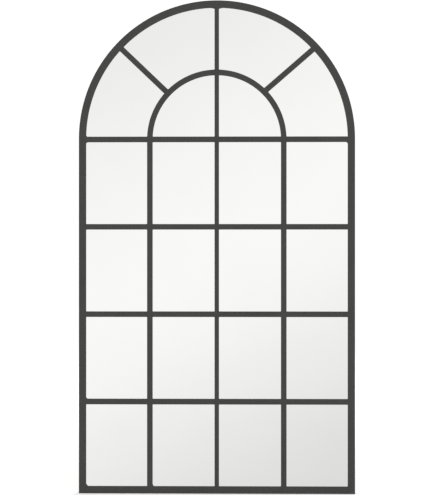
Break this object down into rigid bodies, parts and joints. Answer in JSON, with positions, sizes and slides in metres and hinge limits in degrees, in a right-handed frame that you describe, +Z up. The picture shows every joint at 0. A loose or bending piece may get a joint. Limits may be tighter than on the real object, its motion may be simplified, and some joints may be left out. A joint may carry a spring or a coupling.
{
  "type": "arched full-length mirror",
  "caption": "Tall mirror with a half-round head in a black steel frame, behind a window-style grille of flat bars, to lean on a wall or hang from rings.",
  "frame": {"origin": "on the floor below the middle of the mirror, at half its depth", "axes": "+Z up, the mirror faces -Y, +X to the right of someone who looks into it"},
  "size_m": [1, 0.025, 1.7859],
  "materials": {
    "black_coat": "satin black powder coat on steel",
    "silvered_glass": "clear silvered float glass",
    "fibre_board": "raw fibre board",
    "card": "corrugated card",
    "foam_tape": "black foam tape",
    "block_rubber": "black rubber",
    "zinc_steel": "bright zinc-plated steel"
  },
  "bodies": {
    "frame": {"arch_rail": "black_coat", "backing_board": "fibre_board", "bottom_rail": "black_coat", "card_liner": "card", "centre_bar": "black_coat", "glazing_tape": "foam_tape", "left_bent_bar": "black_coat", "left_hanger_plate": "black_coat", "left_hanger_rivet": "zinc_steel", "left_hanger_strap": "zinc_steel", "left_setting_block": "block_rubber", "left_spoke_bar": "black_coat", "left_stile": "black_coat", "lower_cross_bar_inner_left": "black_coat", "lower_cross_bar_inner_right": "black_coat", "lower_cross_bar_outer_left": "black_coat", "lower_cross_bar_outer_right": "black_coat", "middle_cross_bar_inner_left": "black_coat", "middle_cross_bar_inner_right": "black_coat", "middle_cross_bar_outer_left": "black_coat", "middle_cross_bar_outer_right": "black_coat", "mirror_glass": "silvered_glass", "retainer_tabs": "black_coat", "right_bent_bar": "black_coat", "right_hanger_plate": "black_coat", "right_hanger_rivet": "zinc_steel", "right_hanger_strap": "zinc_steel", "right_setting_block": "block_rubber", "right_spoke_bar": "black_coat", "right_stile": "black_coat", "spring_cross_bar_inner_left": "black_coat", "spring_cross_bar_inner_right": "black_coat", "spring_cross_bar_outer_left": "black_coat", "spring_cross_bar_outer_right": "black_coat", "upper_cross_bar_inner_left": "black_coat", "upper_cross_bar_inner_right": "black_coat", "upper_cross_bar_outer_left": "black_coat", "upper_cross_bar_outer_right": "black_coat"},
    "left_ring": {"left_hanger_ring": "zinc_steel"},
    "right_ring": {"right_hanger_ring": "zinc_steel"}
  },
  "joints": [
    {"name": "left_ring_swing", "type": "hinge", "parent": "frame", "child": "left_ring", "pos_m": [-0.4745, 0.0078, 1.212], "axis": [1, 0, 0], "range_deg": [0, 180]},
    {"name": "right_ring_swing", "type": "hinge", "parent": "frame", "child": "right_ring", "pos_m": [0.4745, 0.0078, 1.212], "axis": [1, 0, 0], "range_deg": [0, 180]}
  ]
}
